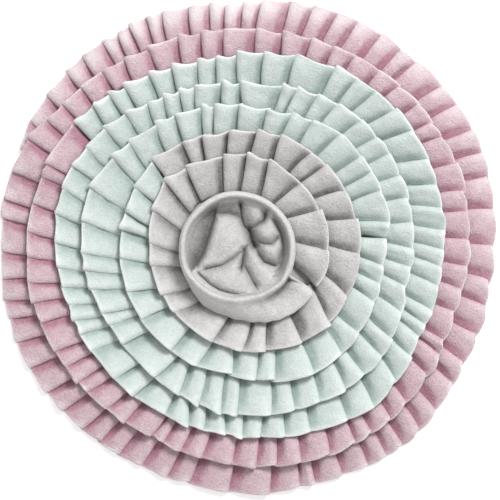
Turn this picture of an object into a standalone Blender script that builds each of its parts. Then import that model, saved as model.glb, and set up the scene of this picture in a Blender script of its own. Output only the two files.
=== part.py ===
"""A round snuffle mat of fleece.

Knife-pleated strips are sewn by their inner edges to a round backing cloth, along one spiral
that runs clockwise inwards as seen from above. Each turn laps over the turn outside it, like
roof shingles, and the plain end of the last strip is coiled into a rosette at the centre.
The origin is the centre of the backing's underside. Sizes here are in millimetres and degrees.
"""

import math
from collections import namedtuple

import bmesh
import bpy
import numpy as np

METRES = 0.001  # one millimetre

# Backing cloth
BASE_RADIUS = 214.0
BASE_THICKNESS = 2.0
BASE_SIDES = 96

# Fleece strips
CLOTH = 2.2  # thickness of the fleece
GAP = 0.3  # between pieces that touch
LAP_GAP = 0.7  # between a turn and the highest folds under it
STRIP_WIDTH = 45.0  # from the sewn edge to the cut edge
INNER_STRIP_WIDTH = 40.0  # of the strip nearest the rosette
MID_STATION = 0.45  # the share of the width at which the pleats have their middle section
SEWN_LIFT = 3.6  # height of a pleat's fold over its foot, at the sewn edge
FREE_LIFT = 6.6  # and at the cut edge
TUCK = 3.0  # how far a pleat's foot is tucked in under the next fold
FACE_BEND = 0.45  # the share of a pleat's face, from its fold, where it bends
FACE_RISE = 0.68  # and the share of the lift that is left there
FOOT_DIP = 3.0  # how much further in the cut edge lies at the foot of a pleat
BEND_DIP = 0.9  # and at the bend
STEEPEST = 0.42  # most lift of a pleat, as a share of its pitch
MOST_TUCK = 0.22  # and most tuck
MITRE_LIMIT = 1.25  # most reach of an outside corner, in half thicknesses
INSIDE_LIMIT = 5.0  # and of an inside one
FLOOR_GAP = 0.4  # under the outermost cut edge
CLIMB = 11.0  # degrees over which the spiral climbs onto its own start
STRIP_PART = 2.2  # between the ends of two strips
SEAM_STEP_FROM, SEAM_STEP_TO = 6.0, 18.0  # spacings of two turns over which the inner one's
# seam comes down from the outer one's onto the backing
FOLD_READ_AT = 8.0  # the tables' fold angles hold this far in from the cut edge
SMOOTH_ANGLE = 38.0  # edges sharper than this stay crisp

# Unevenness of the hand-sewn pleats
SEED = 41
PITCH_WANDER = 0.10
LIFT_WANDER = 0.16
EDGE_WANDER = 1.3
SLANT_WANDER = 2.2  # how far a fold strays along the row from its sewn edge to its cut edge
SLANT_PIVOT = 0.7  # the share of the width that stays in place

# Rosette
ROSETTE_X, ROSETTE_Y = -10.3, -0.8
ROSETTE_SIDES = 72
CROWN_HEIGHT = 31.0  # of the gathered cloth inside the rim
FLARE_RISE = 5.0  # how much higher the collar's edge lies where it spreads over the last pleats
FLARE_FULL = 12.0  # the spread at which it has risen that much

# Each row of a strip's table is one stretch of pleats: the angle and the radius of the fold
# where it begins, and how many pleats follow before the next row. Angles are counter-clockwise
# from +X, and the strip runs clockwise.
Stretch = namedtuple("Stretch", "fold_angle edge_radius pleats")

PINK = (
    Stretch(156.0, 250, 1),
    Stretch(149.5, 255, 3),
    Stretch(130.5, 255, 5),
    Stretch(109.8, 254, 3),
    Stretch(95.0, 247, 3),
    Stretch(80.0, 253, 3),
    Stretch(64.2, 256, 3),
    Stretch(48.0, 255, 3),
    Stretch(28.0, 258, 4),
    Stretch(1.0, 249, 4),
    Stretch(332.5, 246, 2),
    Stretch(319.3, 251, 2),
    Stretch(308.5, 251, 3),
    Stretch(292.6, 247, 2),
    Stretch(282.3, 244, 1),
    Stretch(275.0, 247, 2),
    Stretch(256.0, 243, 5),
    Stretch(227.3, 246, 4),
    Stretch(202.0, 251, 4),
    Stretch(180.3, 247, 2),
    Stretch(168.3, 251, 2),
    Stretch(153.0, 247, 2),
    Stretch(141.8, 235, 4),
    Stretch(116.2, 225, 3),
    Stretch(96.0, 222, 3),
    Stretch(72.5, 221, 4),
    Stretch(47.2, 225, 4),
    Stretch(22.5, 227, 4),
    Stretch(355.5, 221, 2),
    Stretch(343.2, 217, 4),
    Stretch(316.0, 223, 4),
    Stretch(292.0, 223, 4),
    Stretch(266.0, 217, 4),
    Stretch(242.5, 212, 4),
    Stretch(218.0, 217, 3),
    Stretch(199.5, 222, 4),
    Stretch(175.3, 222, 3),
    Stretch(157.0, 219, 1),
)
MINT_OUTER = (
    Stretch(144.0, 216, 3),
    Stretch(127.0, 205, 3),
    Stretch(104.8, 195, 3),
    Stretch(84.7, 198, 2),
    Stretch(63.8, 204, 3),
    Stretch(43.8, 205, 3),
    Stretch(19.3, 201, 4),
    Stretch(355.0, 195, 4),
    Stretch(333.0, 194, 3),
    Stretch(308.8, 202, 2),
    Stretch(289.3, 193, 4),
    Stretch(262.5, 187, 4),
    Stretch(232.0, 186, 3),
    Stretch(207.0, 188, 4),
    Stretch(185.5, 191, 3),
    Stretch(162.0, 197, 2),
    Stretch(147.7, 193, 4),
    Stretch(119.0, 175, 4),
    Stretch(91.8, 168, 2),
    Stretch(72.8, 169, 3),
    Stretch(48.8, 174, 4),
    Stretch(18.0, 170, 4),
    Stretch(347.0, 164, 3),
    Stretch(321.3, 173, 3),
    Stretch(295.3, 170, 3),
    Stretch(265.8, 167, 4),
    Stretch(234.0, 158, 2),
    Stretch(209.0, 158, 3),
    Stretch(187.5, 165, 3),
    Stretch(158.5, 170, 2),
    Stretch(138.0, 161, 3),
    Stretch(107.8, 150, 3),
    Stretch(82.0, 142, 3),
    Stretch(51.0, 149, 4),
    Stretch(10.8, 146, 1),
)
MINT_INNER = (
    Stretch(4.5, 138, 1),
    Stretch(353.3, 137, 3),
    Stretch(323.0, 140, 2),
    Stretch(298.0, 142, 3),
    Stretch(262.0, 127, 3),
    Stretch(213.5, 129, 3),
    Stretch(171.0, 128, 3),
)
GREY = (
    Stretch(137.0, 131, 2),
    Stretch(112.0, 122, 3),
    Stretch(72.8, 119, 3),
    Stretch(31.5, 115, 2),
    Stretch(358.0, 113, 3),
    Stretch(300.0, 107, 3),
    Stretch(249.0, 99, 3),
    Stretch(190.0, 98, 3),
    Stretch(140.5, 108, 2),
    Stretch(104.5, 98, 2),
    Stretch(75.5, 92, 2),
    Stretch(29.0, 84, 2),
    Stretch(331.0, 81, 1),
)
LAST_ANGLE, LAST_RADIUS = 287.0, 69.5  # where the last pleat runs in under the rosette

# How far the rosette's collar spreads beyond its round wall, at these angles round it.
Spread = namedtuple("Spread", "angle reach")

COLLAR = (
    Spread(200.0, 0.0),
    Spread(212.0, 0.8),
    Spread(226.0, 3.5),
    Spread(240.0, 6.6),
    Spread(258.0, 7.8),
    Spread(272.0, 11.5),
    Spread(284.0, 16.0),
    Spread(295.0, 20.5),
    Spread(303.0, 22.0),
    Spread(310.0, 15.0),
    Spread(317.0, 5.0),
    Spread(324.0, 0.0),
)

# A turned section of the rosette, from the middle of its underside to where the gathered
# cloth begins; flare is the share of the collar's spread that each ring takes, and rise the
# share of its rise.
Ring = namedtuple("Ring", "radius height flare rise")

ROSETTE_RINGS = (
    Ring(16.0, 2.3, 0.0, 0.0),
    Ring(32.0, 2.3, 0.0, 0.0),
    Ring(36.0, 12.2, 0.0, 0.0),
    Ring(48.0, 12.9, 0.3, 1.0),
    Ring(55.0, 13.4, 1.0, 1.0),
    Ring(57.0, 15.0, 1.0, 1.0),
    Ring(57.6, 19.4, 0.66, 0.8),
    Ring(57.4, 25.4, 0.29, 0.35),
    Ring(56.8, 31.0, 0.07, 0.0),
    Ring(55.0, 34.8, 0.02, 0.0),
    Ring(52.6, 36.0, 0.0, 0.0),
    Ring(50.2, 34.8, 0.0, 0.0),
)
HOLLOW_RINGS = (46.5, 43.0, 39.0, 35.0, 31.0, 27.0, 23.0, 19.0, 15.0, 11.0, 7.0, 3.0)

# The creases that gather the cloth inside the rim: a path of (x, y), its depth and half width.
Crease = namedtuple("Crease", "path depth half_width")

CREASES = (
    Crease(((-7, 47), (-6, 33), (-3, 23), (3, 18), (4, 10), (7, 3)), 8.0, 4.4),
    Crease(((7, 3), (11, -6), (16, -13), (27, -17)), 6.5, 4.2),
    Crease(((3, 18), (10, 24), (17, 30), (20, 40)), 5.5, 4.0),
    Crease(((5, 12), (17, 5), (25, 5), (30, 11)), 4.5, 3.8),
    Crease(((4, 8), (-4, 0), (-5, -13), (-8, -22)), 5.5, 3.8),
    Crease(((-5, -14), (1, -22), (5, -30), (11, -38)), 4.5, 4.4),
    Crease(((-4, 0), (-14, -8), (-25, -15), (-42, -19)), 4.5, 3.8),
    Crease(((-12, 38), (-22, 39), (-31, 35), (-36, 24), (-39, 13), (-43, 2), (-51, -14)), 6.5, 6.0),
    Crease(((34, 14), (38, 0), (35, -12)), 3.5, 5.0),
)

# The crowns of the lobes between the creases.
Lobe = namedtuple("Lobe", "x y reach height")

LOBES = (
    Lobe(-22, 10, 17, 3.0),
    Lobe(4, 33, 8, 1.0),
    Lobe(17, 16, 9, 1.5),
    Lobe(21, -4, 9, 0.5),
    Lobe(12, -20, 13, 2.5),
    Lobe(-20, -30, 17, 3.0),
)

Finish = namedtuple("Finish", "colour roughness")

PINK_FLEECE = Finish((0.72, 0.50, 0.55, 1.0), 0.95)
MINT_FLEECE = Finish((0.64, 0.74, 0.71, 1.0), 0.95)
GREY_FLEECE = Finish((0.60, 0.59, 0.57, 1.0), 0.95)
BACKING = Finish((0.52, 0.51, 0.49, 1.0), 0.90)

# The strips in order from the outer edge, with how far their folds lean back, clockwise being
# forward, for each millimetre inwards.
Strip = namedtuple("Strip", "name stretches finish lean")

STRIPS = (
    Strip("pink_ruffle", PINK, PINK_FLEECE, 0.10),
    Strip("mint_ruffle_outer", MINT_OUTER, MINT_FLEECE, 0.20),
    Strip("mint_ruffle_inner", MINT_INNER, MINT_FLEECE, 0.20),
    Strip("grey_ruffle", GREY, GREY_FLEECE, 0.24),
)


def unwound(stretches, start_sweep, start_angle):
    """The stretches as rows of (sweep, edge radius, pleats); sweep is degrees along the spiral."""
    rows = []
    sweep, angle = start_sweep, start_angle
    for stretch in stretches:
        sweep += (angle - stretch.fold_angle) % 360.0
        angle = stretch.fold_angle
        rows.append((sweep, float(stretch.edge_radius), stretch.pleats))
    return rows


def spiral_rows():
    """The unwound rows of each strip in turn, and the sweep where the last one ends."""
    strip_rows = []
    sweep, angle = 0.0, PINK[0].fold_angle
    for strip in STRIPS:
        rows = unwound(strip.stretches, sweep, angle)
        strip_rows.append(rows)
        sweep, angle = rows[-1][0], strip.stretches[-1].fold_angle
    return strip_rows, sweep + (angle - LAST_ANGLE) % 360.0


STRIP_ROWS, LAST_SWEEP = spiral_rows()
FIRST_ANGLE = PINK[0].fold_angle
INNER_STRIP_FROM = STRIP_ROWS[3][0][0]
EDGE_SWEEPS = [row[0] for rows in STRIP_ROWS for row in rows] + [LAST_SWEEP]
EDGE_RADII = [row[1] for rows in STRIP_ROWS for row in rows] + [LAST_RADIUS]


def edge_radius(sweep):
    return float(np.interp(sweep, EDGE_SWEEPS, EDGE_RADII))


def strip_width(sweep):
    return STRIP_WIDTH if sweep < INNER_STRIP_FROM else INNER_STRIP_WIDTH


def leaned(sweep, lean, share):
    """Where a fold, or a strip's end, lies at one station: its inner part leans back."""
    inward = (1.0 - share) * strip_width(sweep)
    back = lean * (inward - FOLD_READ_AT)
    return sweep - math.degrees(back / (edge_radius(sweep) - inward))


def ease(share):
    share = min(1.0, max(0.0, share))
    return share * share * (3.0 - 2.0 * share)


def mix(a, b, share):
    return a + (b - a) * share


def lift(out):
    """Height of a full pleat's fold over its foot, at a distance out from the sewn edge."""
    return mix(SEWN_LIFT, FREE_LIFT, out / STRIP_WIDTH)


def layer(out):
    """Height that one whole turn of pleats takes up."""
    return lift(out) + CLOTH * MITRE_LIMIT


def rest_height(sweep, out):
    """Height of the underside of a turn over the floor, at a distance out from its sewn edge.

    A turn rises from its own seam onto the seam of the turn outside it, and lies on that turn
    from there. The outermost turn droops past the backing to the floor.
    """
    out = max(out, 0.0)
    seam = BASE_THICKNESS + GAP
    overhang = ease((out / STRIP_WIDTH - MID_STATION) / (1.0 - MID_STATION))
    alone = mix(seam, FLOOR_GAP, overhang)
    below = sweep - 360.0
    presence = ease(1.0 + below / CLIMB)
    if presence == 0.0:
        return alone
    step = edge_radius(below) - edge_radius(sweep) - strip_width(below) + strip_width(sweep)
    on_seam = rest_height(below, 0.0) + layer(0.0) + LAP_GAP
    if out < step:
        apart = ease((step - SEAM_STEP_FROM) / (SEAM_STEP_TO - SEAM_STEP_FROM))
        own_seam = mix(on_seam, seam, apart)
        stacked = mix(own_seam, on_seam, out / step)
    else:
        lapped = out - max(step, 0.0)
        stacked = rest_height(below, lapped) + layer(lapped) + LAP_GAP
    return mix(alone, stacked, presence)


# A fold of the strip: where it is, the share of the lift it has, how far it slants and how
# far its cut edge strays.
Fold = namedtuple("Fold", "sweep lift slant stray")


def folds_of(rows, end_sweep, rng):
    """The folds of one strip, spread a little unevenly along each stretch."""
    folds = []
    ends = [row[0] for row in rows[1:]] + [end_sweep]
    for (start, _, pleats), end in zip(rows, ends):
        pitch = (end - start) / pleats
        for k in range(pleats):
            wander = rng.uniform(-PITCH_WANDER, PITCH_WANDER) * pitch if k else 0.0
            folds.append(
                Fold(
                    start + k * pitch + wander,
                    1.0 - rng.uniform(0.0, LIFT_WANDER),
                    rng.uniform(-SLANT_WANDER, SLANT_WANDER),
                    rng.uniform(-EDGE_WANDER, EDGE_WANDER),
                )
            )
    return folds


def section_points(folds, end_sweep, share, lean, end_lean):
    """The strip's zigzag line at one station, as rows of (sweep, height, radius)."""
    line = []
    for here, after in zip(folds, folds[1:] + [None]):
        width = strip_width(here.sweep)
        out = share * width
        radius = edge_radius(here.sweep) - width + out
        fold_at = slanted(here, lean, share, radius)
        next_at = slanted(after, lean, share, radius) if after else leaned(end_sweep, end_lean, share)
        pitch = math.radians(next_at - fold_at) * radius
        rise = here.lift * min(lift(out), STEEPEST * pitch)
        tuck = min(TUCK, MOST_TUCK * pitch) if after else 0.0
        foot_at = next_at + math.degrees(tuck / radius)
        stray = share * here.stray
        for sweep, part, reach in (
            (fold_at, 1.0, stray),
            (mix(fold_at, foot_at, FACE_BEND), FACE_RISE, stray - share * BEND_DIP),
            (foot_at, 0.0, -share * FOOT_DIP),
        ):
            at = min(sweep, LAST_SWEEP)
            place = edge_radius(at) - width + out + reach
            floor = rest_height(at, out + reach) + 0.5 * CLOTH * MITRE_LIMIT
            line.append((sweep, floor + part * rise, place))
    return line


def slanted(fold, lean, share, radius):
    stray = math.degrees((share - SLANT_PIVOT) * fold.slant / radius)
    return leaned(fold.sweep, lean, share) + stray


def heading(start, end, radius):
    """Unit vector from one point of a section to the next, with the arc taken at one radius."""
    step = np.array((math.radians(end[0] - start[0]) * radius, end[1] - start[1]))
    return step / np.linalg.norm(step)


def offset_line(line, side):
    """The points of one face of the cloth: the zigzag moved half a thickness to one side."""
    moved = []
    last = len(line) - 1
    for i, (sweep, height, radius) in enumerate(line):
        before = heading(line[max(i - 1, 0)], line[max(i, 1)], radius)
        after = heading(line[min(i, last - 1)], line[min(i + 1, last)], radius)
        first = np.array((-before[1], before[0]))
        middle = first + np.array((-after[1], after[0]))
        middle /= np.linalg.norm(middle)
        reach = 1.0 / max(float(middle @ first), 1.0 / INSIDE_LIMIT)
        turn = float(before[0] * after[1] - before[1] * after[0])
        if turn * side < 0.0:
            reach = min(reach, MITRE_LIMIT)
        shift = side * 0.5 * CLOTH * reach * middle
        moved.append((sweep + math.degrees(shift[0] / radius), height + shift[1], radius))
    return moved


def world_point(sweep, height, radius, x=0.0, y=0.0):
    angle = math.radians(FIRST_ANGLE - sweep)
    return (
        (x + radius * math.cos(angle)) * METRES,
        (y + radius * math.sin(angle)) * METRES,
        height * METRES,
    )


def finish_mesh(bm, name, finish, collection):
    """The bmesh as a smooth-shaded object with its own material, in the mat's collection."""
    bmesh.ops.recalc_face_normals(bm, faces=bm.faces)
    mesh = bpy.data.meshes.new(name)
    bm.to_mesh(mesh)
    bm.free()
    mesh.shade_smooth()
    mesh.set_sharp_from_angle(angle=math.radians(SMOOTH_ANGLE))
    mesh.materials.append(fleece_material(name, finish))
    made = bpy.data.objects.new(name, mesh)
    collection.objects.link(made)
    return made


def fleece_material(name, finish):
    material = bpy.data.materials.new(f"{name} cloth")
    material.use_nodes = True
    shader = material.node_tree.nodes["Principled BSDF"]
    shader.inputs["Base Color"].default_value = finish.colour
    shader.inputs["Roughness"].default_value = finish.roughness
    shader.inputs["Metallic"].default_value = 0.0
    return material


def add_backing(collection):
    """The flat round cloth that carries the strips."""
    bm = bmesh.new()
    bmesh.ops.create_cone(
        bm,
        cap_ends=True,
        segments=BASE_SIDES,
        radius1=BASE_RADIUS * METRES,
        radius2=BASE_RADIUS * METRES,
        depth=BASE_THICKNESS * METRES,
    )
    bmesh.ops.translate(bm, verts=bm.verts, vec=(0.0, 0.0, 0.5 * BASE_THICKNESS * METRES))
    return finish_mesh(bm, "base", BACKING, collection)


def add_ruffle(name, rows, end_sweep, leans, finish, rng, collection):
    """One pleated strip, lofted from its sewn edge through its middle to its cut edge."""
    folds = folds_of(rows, end_sweep, rng)
    bm = bmesh.new()
    faces_of_cloth = []
    for side in (1.0, -1.0):
        grid = []
        for share in (0.0, MID_STATION, 1.0):
            line = offset_line(section_points(folds, end_sweep, share, *leans), side)
            grid.append([bm.verts.new(world_point(*point)) for point in line])
        faces_of_cloth.append(grid)
        for inner, outer in zip(grid, grid[1:]):
            bridge(bm, inner, outer)
    top, under = faces_of_cloth
    bridge(bm, top[0], under[0])
    bridge(bm, top[-1], under[-1])
    for end in (0, -1):
        bridge(bm, [row[end] for row in top], [row[end] for row in under])
    return finish_mesh(bm, name, finish, collection)


def bridge(bm, first, second, closed=False):
    """Quads between two rows of points."""
    count = len(first)
    for i in range(count if closed else count - 1):
        j = (i + 1) % count
        bm.faces.new((first[i], first[j], second[j], second[i]))


def collar_spread(angle):
    """How far the collar spreads at an angle, eased from one row of its table to the next."""
    for low, high in zip(COLLAR, COLLAR[1:]):
        if low.angle <= angle < high.angle:
            return mix(low.reach, high.reach, ease((angle - low.angle) / (high.angle - low.angle)))
    return 0.0


def distance_to_path(x, y, path):
    """Distance from a point to a path of straight pieces."""
    point = np.array((x, y))
    best = math.inf
    for start, end in zip(path, path[1:]):
        start, end = np.array(start, float), np.array(end, float)
        along = end - start
        share = float(np.clip((point - start) @ along / (along @ along), 0.0, 1.0))
        best = min(best, float(np.linalg.norm(point - start - share * along)))
    return best


def gathered_height(x, y):
    """Height of the gathered cloth inside the rim, at a place on the mat."""
    height = CROWN_HEIGHT
    for lobe in LOBES:
        away = math.hypot(x - lobe.x, y - lobe.y) / lobe.reach
        height += lobe.height * math.exp(-away * away)
    trough = 0.0
    for crease in CREASES:
        away = distance_to_path(x, y, crease.path) / crease.half_width
        trough = max(trough, crease.depth * math.exp(-away * away))
    return height - trough


def add_rosette(collection):
    """The coiled end of the strip: a flared collar with a rolled rim, full of gathered cloth."""
    bm = bmesh.new()
    angles = [360.0 * k / ROSETTE_SIDES for k in range(ROSETTE_SIDES)]
    rings = []
    for ring in ROSETTE_RINGS:
        points = []
        for angle in angles:
            spread = collar_spread(angle)
            radius = ring.radius + ring.flare * spread
            height = ring.height + ring.rise * FLARE_RISE * min(1.0, spread / FLARE_FULL)
            points.append(rosette_point(angle, radius, height))
        rings.append([bm.verts.new(point) for point in points])
    for radius in HOLLOW_RINGS:
        points = []
        for angle in angles:
            x = ROSETTE_X + radius * math.cos(math.radians(angle))
            y = ROSETTE_Y + radius * math.sin(math.radians(angle))
            points.append(rosette_point(angle, radius, gathered_height(x, y)))
        rings.append([bm.verts.new(point) for point in points])
    for inner, outer in zip(rings, rings[1:]):
        bridge(bm, inner, outer, closed=True)
    bottom = bm.verts.new(rosette_point(0.0, 0.0, ROSETTE_RINGS[0].height))
    top = bm.verts.new(rosette_point(0.0, 0.0, gathered_height(ROSETTE_X, ROSETTE_Y)))
    for pole, ring in ((bottom, rings[0]), (top, rings[-1])):
        for i, vertex in enumerate(ring):
            bm.faces.new((pole, vertex, ring[(i + 1) % len(ring)]))
    return finish_mesh(bm, "rosette", GREY_FLEECE, collection)


def rosette_point(angle, radius, height):
    turned = FIRST_ANGLE - angle
    return world_point(turned, height, radius, ROSETTE_X, ROSETTE_Y)


def clear_scene():
    for old in list(bpy.context.scene.objects):
        bpy.data.objects.remove(old, do_unlink=True)


def main():
    clear_scene()
    mat = bpy.data.collections.new("Snuffle mat")
    bpy.context.scene.collection.children.link(mat)
    add_backing(mat)
    rng = np.random.default_rng(SEED)
    starts = [rows[0][0] for rows in STRIP_ROWS]
    for k, (strip, rows) in enumerate(zip(STRIPS, STRIP_ROWS)):
        following = STRIPS[min(k + 1, len(STRIPS) - 1)]
        if k + 1 < len(starts):
            end_sweep = starts[k + 1] - math.degrees(STRIP_PART / edge_radius(starts[k + 1]))
        else:
            end_sweep = LAST_SWEEP
        leans = (strip.lean, following.lean)
        add_ruffle(strip.name, rows, end_sweep, leans, strip.finish, rng, mat)
    add_rosette(mat)


main()
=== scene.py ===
"""A round snuffle mat of fleece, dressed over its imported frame.

Knife-pleated fleece strips are sewn to a round backing along one spiral that runs clockwise
inwards, each turn lapping over the turn outside it, and the plain end of the last strip is
coiled into a rosette. Sizes in the tables are in millimetres and degrees.
"""

import math
from collections import namedtuple

import bpy
import numpy as np
from bpy.props import FloatProperty, FloatVectorProperty, PointerProperty
from bpy.types import Operator, Panel, PropertyGroup
from mathutils import Matrix, Vector, noise


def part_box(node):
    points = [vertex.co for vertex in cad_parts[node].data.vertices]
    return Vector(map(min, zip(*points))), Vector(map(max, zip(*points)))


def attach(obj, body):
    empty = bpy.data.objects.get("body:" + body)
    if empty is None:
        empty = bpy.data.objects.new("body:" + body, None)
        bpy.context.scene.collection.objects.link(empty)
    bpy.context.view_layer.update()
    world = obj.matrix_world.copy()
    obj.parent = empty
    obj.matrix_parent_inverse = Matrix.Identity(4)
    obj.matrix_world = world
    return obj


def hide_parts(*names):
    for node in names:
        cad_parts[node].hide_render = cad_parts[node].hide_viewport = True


bl_info = {
    "name": "Snuffle mat",
    "version": (1, 0, 0),
    "blender": (4, 5, 0),
    "location": "View3D > Sidebar > Snuffle mat",
    "description": "Pleated fleece strips, backing and rosette of a round snuffle mat",
    "category": "Object",
}

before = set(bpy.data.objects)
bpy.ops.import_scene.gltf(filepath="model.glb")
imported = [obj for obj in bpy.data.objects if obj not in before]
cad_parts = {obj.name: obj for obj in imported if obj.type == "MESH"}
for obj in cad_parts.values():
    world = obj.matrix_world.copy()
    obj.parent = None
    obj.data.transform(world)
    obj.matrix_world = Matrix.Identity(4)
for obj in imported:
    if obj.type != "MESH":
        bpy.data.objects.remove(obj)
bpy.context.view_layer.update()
BACKING_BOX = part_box("base")

MM = 0.001
BODY = "root"

# Where the pleats' folds reach the cut edge, in clockwise order from the outer end of each
# strip. Angles are counter-clockwise from +X.
PINK_FOLDS = (
    156.0, 149.5, 142.5, 135.5, 130.5, 124.8, 121.0, 117.8, 113.5, 109.8, 103.5, 98.8, 95.0,
    91.0, 86.5, 80.0, 74.8, 69.0, 64.2, 57.8, 52.5, 48.0, 40.1, 34.5, 28.0, 22.3, 16.8, 9.2,
    1.0, 352.7, 346.5, 339.7, 332.5, 327.0, 319.3, 313.7, 308.5, 304.0, 299.0, 292.6, 286.2,
    282.3, 275.0, 265.5, 256.0, 250.5, 244.0, 238.0, 232.5, 227.3, 221.0, 215.5, 208.5, 202.0,
    196.3, 191.8, 186.7, 180.3, 172.5, 168.3, 161.6, 153.0, 147.3, 141.8, 135.5, 129.0, 122.8,
    116.2, 107.9, 102.0, 96.0, 87.3, 80.5, 72.5, 66.7, 60.5, 53.5, 47.2, 40.5, 34.7, 30.0, 22.5,
    15.2, 9.8, 2.2, 355.5, 349.2, 343.2, 335.0, 331.0, 325.0, 316.0, 310.2, 304.2, 299.2, 292.0,
    284.0, 277.5, 272.0, 266.0, 257.5, 251.5, 246.3, 242.5, 234.5, 228.5, 221.5, 218.0, 213.0,
    208.0, 199.5, 194.0, 188.5, 182.0, 175.3, 167.7, 160.5, 157.0,
)
MINT_OUTER_FOLDS = (
    143.8, 137.0, 131.7, 127.0, 119.2, 112.5, 104.8, 99.3, 92.7, 84.7, 75.7, 63.8, 57.2, 51.0,
    43.8, 36.2, 27.0, 19.3, 12.2, 5.8, 359.8, 355.0, 349.2, 341.7, 337.2, 333.0, 326.8, 318.8,
    308.8, 300.5, 289.3, 281.3, 273.8, 268.0, 262.5, 255.5, 250.5, 243.0, 232.0, 224.7, 213.5,
    207.0, 202.5, 197.5, 191.5, 185.5, 178.0, 169.5, 162.0, 154.7, 147.7, 139.8, 132.0, 124.5,
    119.0, 113.5, 108.0, 98.5, 91.8, 78.0, 72.8, 65.5, 58.0, 48.8, 41.0, 34.0, 25.8, 18.0, 9.3,
    0.3, 354.0, 347.0, 337.7, 328.5, 321.3, 313.0, 304.8, 295.3, 286.5, 278.0, 265.8, 260.3,
    251.8, 244.0, 234.0, 217.5, 209.0, 204.0, 194.5, 187.5, 181.5, 170.3, 158.5, 145.8, 138.0,
    126.3, 118.5, 107.8, 103.2, 93.3, 82.0, 71.3, 62.8, 51.0, 39.3, 31.8, 23.3, 10.8,
)
MINT_INNER_FOLDS = (
    4.5, 353.3, 345.5, 337.3, 323.0, 312.0, 298.0, 282.0, 273.2, 262.0, 246.3, 232.5, 213.5,
    199.8, 184.0, 171.0, 163.0, 151.5,
)
GREY_FOLDS = (
    137.0, 121.5, 112.0, 98.7, 85.3, 72.8, 56.5, 47.5, 31.5, 16.0, 358.0, 335.0, 319.0, 300.0,
    280.5, 267.0, 249.0, 221.0, 208.0, 190.0, 176.5, 158.0, 140.5, 127.0, 104.5, 90.0, 75.5,
    51.5, 29.0, 0.0,
)
COLLAR_FOLD = -29.0  # the last fold, where the strip's end widens into the rosette's collar

# The radius of the cut edge, at these angles along the same spiral.
PINK_EDGE = (
    (156, 250), (149.5, 255), (130.5, 255), (109.8, 254), (95, 247), (80, 253), (64.2, 256),
    (48, 255), (28, 258), (1, 249), (332.5, 246), (319.3, 251), (308.5, 251), (292.6, 247),
    (282.3, 244), (275, 247), (256, 243), (227.3, 246), (202, 251), (180.3, 247), (168.3, 251),
    (153, 247), (141.8, 235), (116.2, 225), (96, 222), (72.5, 221), (47.2, 225), (22.5, 227),
    (355.5, 221), (343.2, 217), (316, 223), (292, 223), (266, 217), (242.5, 212), (218, 217),
    (199.5, 222), (175.3, 222), (157, 219),
)
MINT_OUTER_EDGE = (
    (144, 216), (127, 205), (104.8, 195), (84.7, 198), (63.8, 204), (43.8, 205), (19.3, 201),
    (355, 195), (333, 194), (308.8, 202), (289.3, 193), (262.5, 187), (232, 186), (207, 188),
    (185.5, 191), (162, 197), (147.7, 193), (119, 175), (91.8, 168), (72.8, 169), (48.8, 174),
    (18, 170), (347, 164), (321.3, 173), (295.3, 170), (265.8, 167), (234, 158), (209, 158),
    (187.5, 165), (158.5, 170), (138, 161), (107.8, 150), (82, 142), (51, 149), (10.8, 146),
)
MINT_INNER_EDGE = (
    (4.5, 138), (353.3, 137), (323, 140), (298, 142), (262, 127), (213.5, 129), (171, 128),
)
GREY_EDGE = (
    (137, 131), (112, 122), (72.8, 119), (31.5, 115), (358, 113), (300, 107), (249, 99),
    (190, 98), (140.5, 108), (104.5, 98), (75.5, 92), (29, 84), (331, 81), (287, 69.5),
)

# How the folds run in from the cut edge, at these angles along the same spiral: how far they
# lean back per millimetre inwards, and how wide they gape towards the seam.
LEAN, GAPE = 1, 2
PINK_WAYS = (
    (156, 0.1, 8.5), (60, 0.1, 9.5), (350, 0.1, 7.5), (310, 0.1, 10.0), (250, 0.1, 10.0),
    (157, 0.1, 7.5), (96, 0.1, 8.0), (80.5, -0.05, 9.0), (66.7, -0.05, 7.0), (47.2, 0.1, 5.0),
    (9.8, 0.08, 4.0), (343.2, 0.1, 5.5), (310.2, 0.1, 8.5), (272, 0.1, 8.5), (213, 0.1, 5.0),
    (157, 0.1, 4.5),
)
MINT_OUTER_WAYS = (
    (143.8, 0.2, 4.0), (99.3, 0.19, 4.5), (92.7, 0.0, 5.5), (75.7, -0.05, 6.5),
    (57.2, 0.08, 5.0), (43.8, 0.28, 4.5), (19.3, 0.32, 4.0), (355, 0.2, 3.0), (308.8, 0.2, 5.5),
    (289.3, 0.18, 6.0), (273.8, 0.1, 5.0), (262.5, -0.2, 5.5), (250.5, -0.28, 7.0),
    (243, -0.1, 7.0), (232, 0.2, 7.0), (213.5, 0.2, 2.4), (144, 0.2, 2.0), (108, 0.2, 4.5),
    (98.5, 0.08, 8.0), (91.8, -0.2, 8.0), (78, 0.16, 6.5), (65.5, 0.06, 4.0), (41, 0.18, 3.5),
    (18, 0.12, 3.2), (347, 0.2, 3.5), (321.3, 0.16, 7.0), (286.5, 0.15, 6.0), (265.8, 0.0, 5.5),
    (251.8, -0.12, 6.5), (244, -0.12, 7.5), (234, 0.16, 6.5), (204, 0.2, 2.2),
    (145.8, 0.2, 2.2), (126.3, 0.2, 5.5), (103.2, 0.2, 5.0), (82, 0.1, 5.5), (62.8, 0.03, 4.5),
    (51, 0.15, 4.0), (31.8, 0.1, 3.5), (23.3, 0.02, 3.5), (10.8, 0.16, 3.5),
)
MINT_INNER_WAYS = (
    (4.5, 0.12, 3.0), (353.3, 0.2, 4.0), (345.5, 0.2, 8.0), (337.3, 0.14, 5.0),
    (323, 0.03, 5.5), (312, 0.1, 7.0), (298, 0.05, 9.0), (282, 0.2, 3.5), (262, -0.1, 6.5),
    (246.3, 0.14, 7.5), (232.5, 0.02, 7.0), (213.5, 0.2, 5.0), (184, 0.2, 5.0),
    (171, 0.2, 12.0), (163, 0.2, 6.0), (151.5, 0.2, 4.5),
)
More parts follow.
